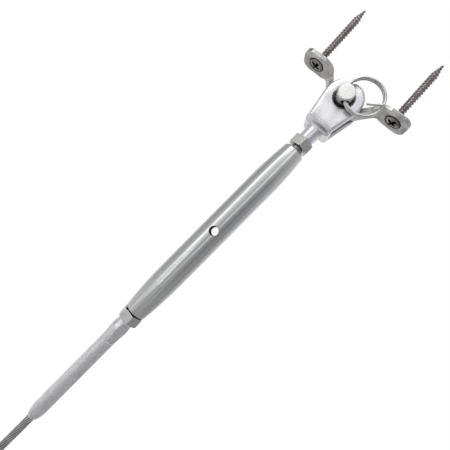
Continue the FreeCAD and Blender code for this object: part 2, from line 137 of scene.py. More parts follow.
# The room's light where it isn't seen or mirrored, and the colour its darker sides turn to
ROOM_LIGHT = 0.7
SHADE_COLOUR = (0.85, 0.83, 1.0, 1)
WHITE = (1, 1, 1, 1)

# Soft boxes, each facing a height on the chain from a direction
LAMPS = (
    {"name": "Key lamp", "height": BODY_MIDDLE + 0.115, "direction": (-0.69, -0.72, 0.1),
     "distance": 0.6, "width": 0.2, "length": 0.55, "brightness": 1.95},
    {"name": "Low lamp", "height": BODY_MIDDLE - 0.25, "direction": (-0.69, -0.72, 0),
     "distance": 0.6, "width": 0.2, "length": 0.34, "brightness": 0.9},
    {"name": "Line lamp", "height": BODY_MIDDLE - 0.22, "direction": (-0.13, -0.99, 0),
     "distance": 0.6, "width": 0.04, "length": 0.42, "brightness": 3.6,
     "lean": math.radians(53)},
    {"name": "Fill lamp", "height": BODY_MIDDLE, "direction": (0.28, -0.96, 0.15),
     "distance": 0.7, "width": 0.12, "length": 0.9, "brightness": 1.2},
    {"name": "Fork lamp", "height": 0, "direction": (-0.44, -0.70, 0.68),
     "distance": 0.6, "width": 0.34, "length": 0.3, "brightness": 2.1},
    {"name": "Top lamp", "height": BODY_MIDDLE, "direction": (-0.2, -0.2, 1.0),
     "distance": 0.7, "width": 0.5, "length": 0.5, "brightness": 1.6},
)


def chain_point(x, z):
    return PIN_CENTRE + CHAIN_SIDE * x + CHAIN_UP * z


def chain_matrix(z):
    # From a piece made upright at the origin to its height on the chain
    turn = Matrix((CHAIN_SIDE, AXIS_Y, CHAIN_UP)).transposed().to_4x4()
    return Matrix.Translation(chain_point(0, z)) @ turn


class TurnbuckleCamera(bpy.types.PropertyGroup):
    turn: FloatProperty(
        name="Turn", description="How far the camera stands to the side of straight on",
        default=math.radians(9.0), subtype="ANGLE")
    tilt: FloatProperty(
        name="Tilt", description="How far the camera looks up along the chain",
        default=math.radians(0.31), subtype="ANGLE")
    roll: FloatProperty(
        name="Roll", description="How far the chain leans from upright in the picture",
        default=math.radians(45.245), subtype="ANGLE")
    distance: FloatProperty(
        name="Distance", description="From the camera to the chain",
        default=160.73 * MM, min=0.05, subtype="DISTANCE")
    aim: FloatProperty(
        name="Aim", description="How far below the clevis pin the camera looks",
        default=80.753 * MM, subtype="DISTANCE")
    aside: FloatProperty(
        name="Aside", description="How far to the side of the chain the camera looks",
        default=1.319 * MM, subtype="DISTANCE")
    lens: FloatProperty(
        name="Lens", description="Focal length on a 36 mm wide sensor",
        default=26.62, min=10, unit="CAMERA")


class TurnbuckleWire(bpy.types.PropertyGroup):
    outer_wires: IntProperty(
        name="Outer wires", description="Wires in the outer layer of the strand",
        default=12, min=6, max=20)
    inner_wires: IntProperty(
        name="Inner wires", description="Wires in the layer round the core wire",
        default=6, min=5, max=12)
    lay: FloatProperty(
        name="Lay", description="Length in which an outer wire goes once round",
        default=44 * MM, min=0.01, subtype="DISTANCE")
    length: FloatProperty(
        name="Length", description="Wire that shows below the swaged barrel",
        default=38 * MM, min=0.03, subtype="DISTANCE")


class TurnbuckleThreads(bpy.types.PropertyGroup):
    crest: FloatProperty(
        name="Crest radius", description="Outer radius of the shanks' thread",
        default=3.0 * MM, min=0.001, subtype="DISTANCE")
    root: FloatProperty(
        name="Root radius", description="Radius from which the shanks' ridge rises",
        default=2.6 * MM, min=0.001, subtype="DISTANCE")
    pitch: FloatProperty(
        name="Pitch", description="Distance from ridge to ridge on the shanks",
        default=1.0 * MM, min=0.0002, subtype="DISTANCE")
    end_gap: FloatProperty(
        name="End gap", description="From the body's middle to the tip of each shank",
        default=7.0 * MM, subtype="DISTANCE")


class TurnbuckleScrews(bpy.types.PropertyGroup):
    root: FloatProperty(
        name="Root radius", description="Radius of the screws' core",
        default=1.35 * MM, min=0.0005, subtype="DISTANCE")
    pitch: FloatProperty(
        name="Pitch", description="Distance from ridge to ridge on the screws",
        default=1.65 * MM, min=0.0005, subtype="DISTANCE")
    thread_start: FloatProperty(
        name="Thread start", description="Height of the first ridge over the mounting face",
        default=0.9 * MM, subtype="DISTANCE")
    tip: FloatProperty(
        name="Tip", description="Length of the screws' tapered tip",
        default=6.0 * MM, min=0.001, subtype="DISTANCE")
    head_rise: FloatProperty(
        name="Head rise", description="Height of the screws' domed heads over their rims",
        default=1.3 * MM, min=0.0005, subtype="DISTANCE")
    lip: FloatProperty(
        name="Lip", description="Rounding of the heads' rims",
        default=0.35 * MM, min=0.0001, subtype="DISTANCE")
    recess_span: FloatProperty(
        name="Recess span", description="Length of the cross recess at the head's crown",
        default=5.6 * MM, min=0.001, subtype="DISTANCE")
    recess_width: FloatProperty(
        name="Recess width", description="Width of the cross recess at the head's crown",
        default=1.7 * MM, min=0.0002, subtype="DISTANCE")
    recess_depth: FloatProperty(
        name="Recess depth", description="Depth of the cross recess below the crown",
        default=2.2 * MM, min=0.0002, subtype="DISTANCE")
    recess_turn: FloatProperty(
        name="Recess turn", description="Angle of the cross from the saddle's length",
        default=math.radians(25), subtype="ANGLE")


def colour(label, default):
    return FloatVectorProperty(
        name=label, description="Colour of the " + label.lower(), default=default,
        min=0, max=1, size=3, subtype="COLOR")


class TurnbuckleFinishes(bpy.types.PropertyGroup):
    body: colour("Body", (0.45, 0.46, 0.448))
    fork: colour("Fork", (0.60, 0.60, 0.615))
    saddle: colour("Saddle", (0.36, 0.353, 0.342))
    barrel: colour("Swaged barrel", (0.56, 0.552, 0.568))
    nuts: colour("Locknuts", (0.42, 0.417, 0.405))
    pin: colour("Clevis pin", (0.66, 0.655, 0.64))
    ring: colour("Split ring", (0.46, 0.465, 0.455))
    screws: colour("Screws", (0.35, 0.315, 0.31))
    screw_heads: colour("Screw heads", (0.25, 0.222, 0.218))
    wire: colour("Wire", (0.50, 0.48, 0.495))
    threads: colour("Threads", (0.50, 0.48, 0.48))


class TurnbuckleStage(bpy.types.PropertyGroup):
    floor_drop: FloatProperty(
        name="Floor drop", description="Distance from the wire's end down to the floor",
        default=0.04, min=0.001, subtype="DISTANCE")
    floor_radius: FloatProperty(
        name="Floor radius", description="Radius of the round floor",
        default=1.2, min=0.2, subtype="DISTANCE")
    shade: FloatProperty(
        name="Shade", description="Brightness of the darker side of the room",
        default=0.45, min=0, max=1, subtype="FACTOR")


def link_object(name, data):
    thing = bpy.data.objects.new(name, data)
    bpy.context.scene.collection.objects.link(thing)
    return thing


def plain_mesh(carrier):
    # A working object's final shape as a mesh of its own, after which the object goes
    depsgraph = bpy.context.evaluated_depsgraph_get()
    mesh = bpy.data.meshes.new_from_object(carrier.evaluated_get(depsgraph))
    bpy.data.objects.remove(carrier)
    return mesh


def drawn_mesh(name, shape):
    mesh = bpy.data.meshes.new(name)
    shape.to_mesh(mesh)
    shape.free()
    return mesh


def add_sockets(tree, direction, sockets):
    for label, kind, default in sockets:
        socket = tree.interface.new_socket(
            name=label, in_out=direction, socket_type="NodeSocket" + kind)
        if default is not None:
            socket.default_value = default


def feed(tree, value, socket):
    # A link from another node's socket, or else a plain value
    if isinstance(value, bpy.types.NodeSocket):
        tree.links.new(value, socket)
    else:
        socket.default_value = value


def add_node(tree, kind, inputs=None, **settings):
    node = tree.nodes.new(kind)
    for key, value in settings.items():
        setattr(node, key, value)
    for key, value in (inputs or {}).items():
        feed(tree, value, node.inputs[key])
    return node


def math_node(tree, operation, *values, clamp=False):
    node = add_node(
        tree, "ShaderNodeMath", dict(enumerate(values)), operation=operation, use_clamp=clamp)
    return node.outputs[0]


def vector_node(tree, operation, *values):
    node = add_node(
        tree, "ShaderNodeVectorMath", dict(enumerate(values)), operation=operation)
    return node.outputs["Value" if operation in ("DOT_PRODUCT", "LENGTH") else "Vector"]


def scaled(tree, vector, scale):
    node = add_node(
        tree, "ShaderNodeVectorMath", {0: vector, "Scale": scale}, operation="SCALE")
    return node.outputs["Vector"]


def ramp(tree, value, start, end, low=0.0, high=1.0, soft=False):
    # Goes from low to high while the value goes from start to end
    node = add_node(
        tree, "ShaderNodeMapRange",
        {"Value": value, "From Min": start, "From Max": end, "To Min": low, "To Max": high},
        interpolation_type="SMOOTHSTEP" if soft else "LINEAR")
    return node.outputs[0]


def colour_mix(tree, factor, first, second):
    mix = add_node(tree, "ShaderNodeMix", {"Factor": factor}, data_type="RGBA")
    colours = [socket for socket in mix.inputs if socket.type == "RGBA"]
    feed(tree, first, colours[0])
    feed(tree, second, colours[1])
    return [socket for socket in mix.outputs if socket.type == "RGBA"][0]


def shape_tree(name, inputs):
    tree = bpy.data.node_groups.new(name, "GeometryNodeTree")
    add_sockets(tree, "INPUT", [("Geometry", "Geometry", None), *inputs])
    add_sockets(tree, "OUTPUT", [("Geometry", "Geometry", None)])
    return tree


def finish_tree(tree, geometry, material):
    real = add_node(tree, "GeometryNodeRealizeInstances", {"Geometry": geometry})
    painted = add_node(
        tree, "GeometryNodeSetMaterial", {"Geometry": real.outputs[0], "Material": material})
    add_node(tree, "NodeGroupOutput", {"Geometry": painted.outputs[0]})


def run_tree(name, tree, values, start_mesh):
    # The tree's result as a plain mesh
    carrier = link_object(name + "_carrier", start_mesh)
    modifier = carrier.modifiers.new("Shape", "NODES")
    modifier.node_group = tree
    for item in tree.interface.items_tree:
        if item.item_type == "SOCKET" and item.in_out == "INPUT" and item.name in values:
            modifier[item.identifier] = values[item.name]
    mesh = plain_mesh(carrier)
    if not mesh.polygons:
        raise RuntimeError(name + " came out empty")
    mesh.name = name
    return mesh


def swept(tree, curve, section):
    skin = add_node(
        tree, "GeometryNodeCurveToMesh",
        {"Curve": curve, "Profile Curve": section, "Fill Caps": True})
    return skin.outputs[0]


def tube(tree, curve, radius):
    section = add_node(
        tree, "GeometryNodeCurvePrimitiveCircle", {"Radius": radius, "Resolution": WIRE_SIDES})
    return swept(tree, curve, section.outputs[0])


def strand_layer(tree, centreline, count, ring_radius, wire_radius, lay):
    # Parallel wires wound round the centreline at one radius
    copies = add_node(
        tree, "GeometryNodeDuplicateElements", {"Geometry": centreline, "Amount": count},
        domain="SPLINE")
    along = add_node(tree, "GeometryNodeSplineParameter").outputs["Length"]
    share = math_node(tree, "DIVIDE", copies.outputs["Duplicate Index"], count)
    turns = math_node(tree, "ADD", share, math_node(tree, "DIVIDE", along, lay))
    angle = math_node(tree, "MULTIPLY", turns, 2 * math.pi)
    normal = add_node(tree, "GeometryNodeInputNormal").outputs[0]
    tangent = add_node(tree, "GeometryNodeInputTangent").outputs[0]
    outward = add_node(
        tree, "ShaderNodeVectorRotate", {"Vector": normal, "Axis": tangent, "Angle": angle},
        rotation_type="AXIS_ANGLE")
    offset = scaled(tree, outward.outputs[0], ring_radius)
    moved = add_node(
        tree, "GeometryNodeSetPosition",
        {"Geometry": copies.outputs["Geometry"], "Offset": offset})
    return tube(tree, moved.outputs[0], wire_radius)


def wire_tree():
    # A core wire, an inner layer and an outer layer wound the other way
    tree = shape_tree("Wire strand", [
        ("Outer wires", "Int", 12),
        ("Inner wires", "Int", 6),
        ("Radius", "Float", 0.002),
        ("Lay", "Float", 0.044),
        ("Material", "Material", None),
    ])
    given = add_node(tree, "NodeGroupInput").outputs
    line = add_node(tree, "GeometryNodeMeshToCurve", {"Mesh": given["Geometry"]})
    even = add_node(
        tree, "GeometryNodeResampleCurve",
        {"Curve": line.outputs[0], "Count": CENTRELINE_POINTS})
    # Five wires lie side by side across the strand
    wire_radius = math_node(tree, "DIVIDE", given["Radius"], 5)
    inner_ring = math_node(tree, "MULTIPLY", wire_radius, 2)
    outer_ring = math_node(tree, "MULTIPLY", wire_radius, 4)
    inner_lay = math_node(tree, "MULTIPLY", given["Lay"], INNER_LAY)
    centreline = even.outputs[0]
    outer = strand_layer(
        tree, centreline, given["Outer wires"], outer_ring, wire_radius, given["Lay"])
    inner = strand_layer(
        tree, centreline, given["Inner wires"], inner_ring, wire_radius, inner_lay)
    core = tube(tree, centreline, wire_radius)
    joined = add_node(tree, "GeometryNodeJoinGeometry")
    for layer in (outer, inner, core):
        tree.links.new(layer, joined.inputs[0])
    finish_tree(tree, joined.outputs[0], given["Material"])
    return tree


def helix(tree, curve, pitch, radius, hand):
    # The straight curve up Z wound to a helix of the radius that each height has
    height = add_node(tree, "GeometryNodeSplineParameter").outputs["Length"]
    turns = math_node(tree, "DIVIDE", height, pitch)
    angle = math_node(tree, "MULTIPLY", turns, 2 * math.pi)
    spun = math_node(tree, "MULTIPLY", angle, hand)
    place = add_node(tree, "ShaderNodeCombineXYZ", {
        "X": math_node(tree, "MULTIPLY", radius, math_node(tree, "COSINE", spun)),
        "Y": math_node(tree, "MULTIPLY", radius, math_node(tree, "SINE", spun)),
        "Z": height,
    })
    wound = add_node(
        tree, "GeometryNodeSetPosition", {"Geometry": curve, "Position": place.outputs[0]})
    upright = add_node(
        tree, "GeometryNodeSetCurveNormal", {"Curve": wound.outputs[0]}, mode="Z_UP")
    return upright.outputs[0]


def ridge_section(tree, relief, half_width):
    # A diamond that stands out by the relief and lies along the shank by the half width
    diamond = add_node(
        tree, "GeometryNodeCurvePrimitiveCircle", {"Resolution": 4, "Radius": 1})
    stretch = add_node(tree, "ShaderNodeCombineXYZ", {"X": relief, "Y": half_width, "Z": 1})
    section = add_node(
        tree, "GeometryNodeTransform",
        {"Geometry": diamond.outputs[0], "Scale": stretch.outputs[0]})
    return section.outputs[0]


def ridge_tree():
    # A helical ridge round +Z, tapered over its tip
    tree = shape_tree("Thread ridge", [
        ("Crest radius", "Float", 0.003),
        ("Root radius", "Float", 0.0026),
        ("Pitch", "Float", 0.001),
        ("Length", "Float", 0.05),
        ("Tip length", "Float", 0.001),
        ("Hand", "Float", 1.0),
        ("Half width", "Float", 0.0004),
        ("Points per turn", "Int", 40),
        ("Material", "Material", None),
    ])
    given = add_node(tree, "NodeGroupInput").outputs
    turns = math_node(tree, "DIVIDE", given["Length"], given["Pitch"])
    count = math_node(tree, "MULTIPLY", turns, given["Points per turn"])
    end = add_node(tree, "ShaderNodeCombineXYZ", {"Z": given["Length"]})
    straight = add_node(tree, "GeometryNodeCurvePrimitiveLine", {"End": end.outputs[0]})
    even = add_node(
        tree, "GeometryNodeResampleCurve", {"Curve": straight.outputs[0], "Count": count})
    height = add_node(tree, "GeometryNodeSplineParameter").outputs["Length"]
    to_tip = math_node(tree, "SUBTRACT", given["Length"], height)
    at_tip = math_node(tree, "DIVIDE", to_tip, given["Tip length"], clamp=True)
    taper = math_node(tree, "MAXIMUM", at_tip, RIDGE_TIP)
    radius = math_node(tree, "MULTIPLY", given["Root radius"], taper)
    wound = helix(tree, even.outputs[0], given["Pitch"], radius, given["Hand"])
    sized = add_node(tree, "GeometryNodeSetCurveRadius", {"Curve": wound, "Radius": taper})
    relief = math_node(tree, "SUBTRACT", given["Crest radius"], given["Root radius"])
    section = ridge_section(tree, relief, given["Half width"])
    finish_tree(tree, swept(tree, sized.outputs[0], section), given["Material"])
    return tree


def ridge_mesh(name, matrix, material, **values):
    # The tree is built once, for the shanks and the screws
    tree = bpy.data.node_groups.get("Thread ridge") or ridge_tree()
    start = bpy.data.meshes.new(name + "_start")
    start.from_pydata([(0, 0, 0)], [], [])
    inputs = {key.replace("_", " ").capitalize(): value for key, value in values.items()}
    inputs["Material"] = material
    mesh = run_tree(name, tree, inputs, start)
    mesh.transform(matrix)
    outward = bmesh.new()
    outward.from_mesh(mesh)
    bmesh.ops.recalc_face_normals(outward, faces=outward.faces)
    outward.to_mesh(mesh)
    outward.free()
    return mesh


def effect(name, inputs, output, kind="Float"):
    # A shader group with its sockets, and the sockets that its nodes can read
    tree = bpy.data.node_groups.new(name, "ShaderNodeTree")
    add_sockets(tree, "INPUT", inputs)
    add_sockets(tree, "OUTPUT", [(output, kind, None)])
    return tree, add_node(tree, "NodeGroupInput").outputs


def grain_effect():
    # Fine lines left by polishing or turning, longest along the axis of lowest density
    tree, given = effect(
        "Steel grain", [("Vector", "Vector", None), ("Density", "Vector", (900, 900, 30))],
        "Grain")
    spread = vector_node(tree, "MULTIPLY", given["Vector"], given["Density"])
    noise = add_node(
        tree, "ShaderNodeTexNoise",
        {"Vector": spread, "Scale": 1.0, "Detail": 1.0, "Roughness": 0.5})
    add_node(tree, "NodeGroupOutput", {"Grain": noise.outputs[0]})


def marks_effect():
    # Soft cloudy marks from handling, with a few small specks
    tree, given = effect(
        "Handling marks",
        [("Vector", "Vector", None), ("Size", "Float", 0.01), ("Specks", "Float", 0.15)],
        "Mask")
    scale = math_node(tree, "DIVIDE", 1.0, given["Size"])
    cloud = add_node(
        tree, "ShaderNodeTexNoise",
        {"Vector": given["Vector"], "Scale": scale, "Detail": 3.0, "Roughness": 0.55})
    finer = math_node(tree, "MULTIPLY", scale, SPECKS_PER_CLOUD)
    cells = add_node(
        tree, "ShaderNodeTexVoronoi", {"Vector": given["Vector"], "Scale": finer})
    patches = ramp(tree, cloud.outputs[0], CLEAN, MARKED)
    speck = math_node(tree, "LESS_THAN", cells.outputs["Distance"], SPECK_RADIUS)
    added = math_node(tree, "MULTIPLY", speck, given["Specks"])
    total = math_node(tree, "ADD", patches, added, clamp=True)
    add_node(tree, "NodeGroupOutput", {"Mask": total})


def tone_effect():
    # A colour between two tones, lined by the grain, darkened by painted shade in crevices and bright where rubbed
    tree, given = effect(
        "Steel tone",
        [("Colour", "Color", (0.5, 0.5, 0.5, 1)), ("Cast", "Color", (0.5, 0.5, 0.52, 1)),
         ("Marks", "Float", 0.5), ("Grain", "Float", 0.5), ("Contrast", "Float", 0.15),
         ("Crevice shade", "Float", 1.0), ("Wear", "Float", 0.0)],
        "Colour", "Color")
    cast = colour_mix(tree, given["Marks"], given["Colour"], given["Cast"])
    centred = math_node(tree, "SUBTRACT", given["Grain"], 0.5)
    swing = math_node(tree, "MULTIPLY", centred, given["Contrast"])
    crevice_shaded = math_node(tree, "MULTIPLY", math_node(tree, "ADD", swing, 1.0), given["Crevice shade"])
    brighter = math_node(tree, "MULTIPLY", given["Wear"], RUBBED_GAIN)
    light = math_node(tree, "MULTIPLY", crevice_shaded, math_node(tree, "ADD", brighter, 1.0))
    add_node(tree, "NodeGroupOutput", {"Colour": scaled(tree, cast, light)})


def roughness_effect():
    # Between the smooth and the rough limit, as the marks and the grain say
    tree, given = effect(
        "Steel roughness",
        [("Marks", "Float", 0.5), ("Grain", "Float", 0.5), ("Smooth", "Float", 0.2),
         ("Rough", "Float", 0.3)],
        "Roughness")
    worn = math_node(tree, "MULTIPLY", given["Marks"], MARKS_SHARE)
    lined = math_node(tree, "MULTIPLY", given["Grain"], 1 - MARKS_SHARE)
    share = math_node(tree, "ADD", worn, lined)
    total = ramp(tree, share, 0.0, 1.0, given["Smooth"], given["Rough"])
    add_node(tree, "NodeGroupOutput", {"Roughness": total})


def relief_effect():
    # The height of the fine grain together with broad soft unevenness from casting
    tree, given = effect(
        "Steel relief",
        [("Vector", "Vector", None), ("Grain", "Float", 0.5), ("Grain depth", "Float", 0.000003),
         ("Wave size", "Float", 0.006), ("Wave depth", "Float", 0.0)],
        "Height")
    scale = math_node(tree, "DIVIDE", 1.0, given["Wave size"])
    waves = add_node(
        tree, "ShaderNodeTexNoise", {"Vector": given["Vector"], "Scale": scale, "Detail": 0.0})
    broad = math_node(tree, "MULTIPLY", waves.outputs[0], given["Wave depth"])
    fine = math_node(tree, "MULTIPLY", given["Grain"], given["Grain depth"])
    add_node(tree, "NodeGroupOutput", {"Height": math_node(tree, "ADD", broad, fine)})


def crevice_shade_effect():
    # Painted shade: nearly one on open faces, down to the low value deep in a crevice, where shade falls
    tree, given = effect(
        "Painted crevice shade", [("Distance", "Float", 0.001), ("Low", "Float", 0.25)], "Light")
    near = add_node(
        tree, "ShaderNodeAmbientOcclusion", {"Distance": given["Distance"]}, samples=8)
    open_share = math_node(tree, "POWER", near.outputs["AO"], CREVICE_SHADE_POWER)
    light = ramp(tree, open_share, 0.0, 1.0, low=given["Low"])
    add_node(tree, "NodeGroupOutput", {"Light": light})


def rubbed_effect():
    # From nothing on open faces to one along the edges that handling rubs bright
    tree, given = effect("Rubbed edges", [("Width", "Float", 0.0003)], "Wear")
    rounded = add_node(tree, "ShaderNodeBevel", {"Radius": given["Width"]}, samples=8)
    flat = add_node(tree, "ShaderNodeNewGeometry").outputs["Normal"]
    agree = vector_node(tree, "DOT_PRODUCT", rounded.outputs[0], flat)
    apart = math_node(tree, "SUBTRACT", 1.0, agree)
    wear = math_node(tree, "MULTIPLY", apart, EDGE_GAIN, clamp=True)
    add_node(tree, "NodeGroupOutput", {"Wear": wear})


def soft_edge_effect():
    # Edges that take the light as if they were rounded to a radius
    tree, given = effect("Soft edges", [("Radius", "Float", 0.0003)], "Normal", "Vector")
    rounded = add_node(tree, "ShaderNodeBevel", {"Radius": given["Radius"]}, samples=12)
    add_node(tree, "NodeGroupOutput", {"Normal": rounded.outputs[0]})


def facing(tree, heading, direction, start, end, value):
    # One, then softly another value as a heading turns towards a direction
    towards = vector_node(tree, "DOT_PRODUCT", heading, Vector(direction).normalized())
    return ramp(tree, towards, start, end, low=1.0, high=value, soft=True)


def room_effect():
    # White behind the object, and greyer to its left and its front right
    tree, given = effect(
        "Room tone", [("Heading", "Vector", None), ("Shade", "Float", 0.45)], "Tone")
    paler = ramp(tree, given["Shade"], 0.0, 1.0, low=0.5)
    front = facing(
        tree, given["Heading"], direction=(0.62, -0.44, -0.65), start=0.1, end=0.8,
        value=given["Shade"])
    left = facing(
        tree, given["Heading"], direction=(-0.97, -0.1, 0.1), start=0.5, end=0.95,
        value=paler)
    add_node(tree, "NodeGroupOutput", {"Tone": math_node(tree, "MULTIPLY", front, left)})


EFFECTS = {
    "Steel grain": grain_effect,
    "Handling marks": marks_effect,
    "Steel tone": tone_effect,
    "Steel roughness": roughness_effect,
    "Steel relief": relief_effect,
    "Painted crevice shade": crevice_shade_effect,
    "Rubbed edges": rubbed_effect,
    "Soft edges": soft_edge_effect,
    "Room tone": room_effect,
}


def placed(tree, name, inputs):
    # A shared effect, built on its first use, with a material's own values
    if name not in bpy.data.node_groups:
        EFFECTS[name]()
    node = add_node(tree, "ShaderNodeGroup", inputs, node_tree=bpy.data.node_groups[name])
    return node.outputs[0]


def object_place(tree):
    return add_node(tree, "ShaderNodeTexCoord").outputs["Object"]


def along_chain(tree):
    # Object coordinates turned and moved so that Z runs up the chain from the pin
    origin = Matrix.Rotation(-CHAIN_LEAN, 3, "Y") @ PIN_CENTRE
    turned = add_node(
        tree, "ShaderNodeMapping",
        {"Vector": object_place(tree), "Rotation": (0, -CHAIN_LEAN, 0), "Location": -origin},
        vector_type="POINT")
    return turned.outputs[0]


def steel_normal(tree, vector, grain, grain_depth, wave_size, wave_depth, edge):
    # The relief, over edges that are softened where an edge radius is given
    height = placed(tree, "Steel relief", {
        "Vector": vector, "Grain": grain, "Grain depth": grain_depth,
        "Wave size": wave_size, "Wave depth": wave_depth})
    bump = add_node(
        tree, "ShaderNodeBump", {"Height": height, "Strength": 1.0, "Distance": 1.0})
    if edge:
        feed(tree, placed(tree, "Soft edges", {"Radius": edge}), bump.inputs["Normal"])
    return bump.outputs[0]


def steel(name, tone, fade, roughness, density, contrast, marks, tint=(1, 1, 1),
          frame_of=along_chain, grain_depth=0.003 * MM, wave_size=6 * MM, wave_depth=0.0,
          crevice_shade=0.0, crevice_shade_low=0.25, edge=0.0, wear=0.0):
    """A steel from its colour, the marks' fading, two roughness limits and its grain's density."""
    material = bpy.data.materials.new(name)
    material.use_nodes = True
    tree = material.node_tree
    vector = frame_of(tree)
    grain = placed(tree, "Steel grain", {"Vector": vector, "Density": density})
    handled = placed(tree, "Handling marks", {"Vector": vector, "Size": marks})
    cast = [min(1.0, part * fade * share) for part, share in zip(tone, tint)]
    colouring = {"Colour": (*tone, 1), "Cast": (*cast, 1), "Contrast": contrast,
                 "Marks": handled, "Grain": grain}
    # Painted shade in crevices, recesses and gaps, where a reach is given
    if crevice_shade:
        colouring["Crevice shade"] = placed(
            tree, "Painted crevice shade", {"Distance": crevice_shade, "Low": crevice_shade_low})
    if wear:
        colouring["Wear"] = placed(tree, "Rubbed edges", {"Width": wear})
    normal = steel_normal(tree, vector, grain, grain_depth, wave_size, wave_depth, edge)
    smooth, rough = roughness
    shader = tree.nodes["Principled BSDF"].inputs
    shader["Metallic"].default_value = 1.0
    feed(tree, placed(tree, "Steel tone", colouring), shader["Base Color"])
    feed(tree, placed(tree, "Steel roughness", {
        "Marks": handled, "Grain": grain, "Smooth": smooth, "Rough": rough}), shader["Roughness"])
    feed(tree, normal, shader["Normal"])
    return material


def dim_colour(tree, light):
    # Scales the colour that feeds the shader
    base = tree.nodes["Principled BSDF"].inputs["Base Color"]
    feed(tree, scaled(tree, base.links[0].from_socket, light), base)


def paint_rim_shade(material, radius, start=0.84, end=0.95, low=0.04):
    # Painted shade on the outer edge of each screw's head, where it sits down in its countersink
    tree = material.node_tree
    split = add_node(tree, "ShaderNodeSeparateXYZ", {0: object_place(tree)}).outputs
    sideways = math_node(tree, "ABSOLUTE", split["X"])
    offset = math_node(tree, "SUBTRACT", sideways, SCREW_SPACING / 2)
    flat = add_node(tree, "ShaderNodeCombineXYZ", {"X": offset, "Y": split["Y"]})
    away = vector_node(tree, "LENGTH", flat.outputs[0])
    dim_colour(tree, ramp(tree, away, start * radius, end * radius, 1.0, low, soft=True))


def paint_hole_shade(material, pos, axis, radius, start=0.94, low=0.03):
    # Painted shade in a cross hole: its wall and the bore behind it turn dark, matte and not metallic
    tree = material.node_tree
    offset = vector_node(tree, "SUBTRACT", object_place(tree), pos)
    across = vector_node(tree, "CROSS_PRODUCT", offset, axis)
    outside = ramp(tree, vector_node(tree, "LENGTH", across), start * radius, radius)
    dim_colour(tree, ramp(tree, outside, 0.0, 1.0, low=low))
    inside = math_node(tree, "SUBTRACT", 1.0, outside)
    shader = tree.nodes["Principled BSDF"].inputs
    rough = math_node(tree, "MAXIMUM", shader["Roughness"].links[0].from_socket, inside)
    feed(tree, rough, shader["Roughness"])
    feed(tree, outside, shader["Metallic"])


def body_steel(finishes):
    # Long axial polishing lines
    material = steel(
        "Polished body", finishes.body, fade=0.94, tint=(1, 0.985, 1), roughness=(0.2, 0.3),
        density=(1000, 1000, 9), grain_depth=0.002 * MM, contrast=0.6, marks=20 * MM)
    # With painted shade inside the cross hole
    hole = mounts["tommy_bar_hole"]
    reach = hole["dims"]["r_mm"] * MM * HOLE_SHADE_MARGIN
    paint_hole_shade(material, hole["pos_m"], hole["axis"], reach)
    return material


def fork_steel(finishes):
    # Cast, then tumbled bright
    # With light painted shade in its crevices
    return steel(
        "Bright fork", finishes.fork, fade=0.88, tint=(1, 1, 1.02), roughness=(0.26, 0.38),
        density=(260, 260, 260), grain_depth=0.001 * MM, wave_depth=0.9 * MM,
        wave_size=9 * MM, contrast=0.08, marks=8 * MM, crevice_shade=0.9 * MM, crevice_shade_low=0.75,
        edge=1.6 * MM)


def saddle_steel(finishes):
    # With deep painted shade in its crevices, down to near black
    return steel(
        "Satin saddle", finishes.saddle, fade=0.55, roughness=(0.22, 0.36),
        density=(110, 1500, 900), frame_of=object_place, grain_depth=0.006 * MM,
        wave_depth=0.3 * MM, contrast=0.5, marks=6 * MM, crevice_shade=3 * MM, crevice_shade_low=0.05,
        edge=0.5 * MM, wear=0.3 * MM)


def barrel_steel(finishes):
    # Fine turning lines round the barrel, drawn out by the swaging dies
    return steel(
        "Swaged barrel", finishes.barrel, fade=0.9, roughness=(0.34, 0.46),
        density=(1400, 1400, 900), contrast=0.5, marks=4 * MM, edge=0.1 * MM, wear=0.4 * MM)


def nut_steel(finishes):
    # With painted shade in crevices
    return steel(
        "Turned nuts", finishes.nuts, fade=0.86, roughness=(0.2, 0.32),
        density=(180, 180, 2400), contrast=0.3, marks=5 * MM, crevice_shade=1 * MM,
        edge=0.3 * MM, wear=0.3 * MM)


def pin_steel(finishes):
    # With painted shade in crevices
    return steel(
        "Turned pin", finishes.pin, fade=0.86, roughness=(0.2, 0.34),
        density=(2200, 160, 2200), grain_depth=0.005 * MM, contrast=0.2, marks=4 * MM,
        crevice_shade=1.8 * MM, edge=0.3 * MM)


def ring_steel(finishes):
    return steel(
        "Drawn ring wire", finishes.ring, fade=0.85, roughness=(0.2, 0.32),
        density=(420, 420, 420), contrast=0.25, marks=4 * MM)


def screw_head_steel(finishes):
    # With painted shade down to black in the cross recess and other crevices
    return steel(
        "Screw heads", finishes.screw_heads, fade=0.3, tint=(1.04, 1, 1), roughness=(0.08, 0.2),
        density=(500, 500, 500), frame_of=object_place, contrast=0.3, marks=2.6 * MM,
        crevice_shade=1.6 * MM, crevice_shade_low=0.0, edge=0.15 * MM)


def screw_steel(finishes):
    # With painted shade in crevices, such as between the ridges
    return steel(
        "Dark screws", finishes.screws, fade=0.7, tint=(1.05, 1, 1), roughness=(0.16, 0.3),
        density=(500, 500, 1200), frame_of=object_place, contrast=0.3, marks=2 * MM,
        crevice_shade=1 * MM, crevice_shade_low=0.1)


def rope_steel(finishes):
    # With painted shade down to black in the gaps between its wires
    return steel(
        "Stranded wire", finishes.wire, fade=0.75, roughness=(0.28, 0.42),
        density=(900, 900, 60), contrast=0.35, marks=4 * MM, crevice_shade=0.6 * MM,
        crevice_shade_low=0.0)


def thread_steel(finishes):
    # With painted shade in crevices, such as between the ridges
    return steel(
        "Cut threads", finishes.threads, fade=0.8, roughness=(0.22, 0.38),
        density=(700, 700, 700), contrast=0.3, marks=4 * MM, crevice_shade=0.8 * MM)


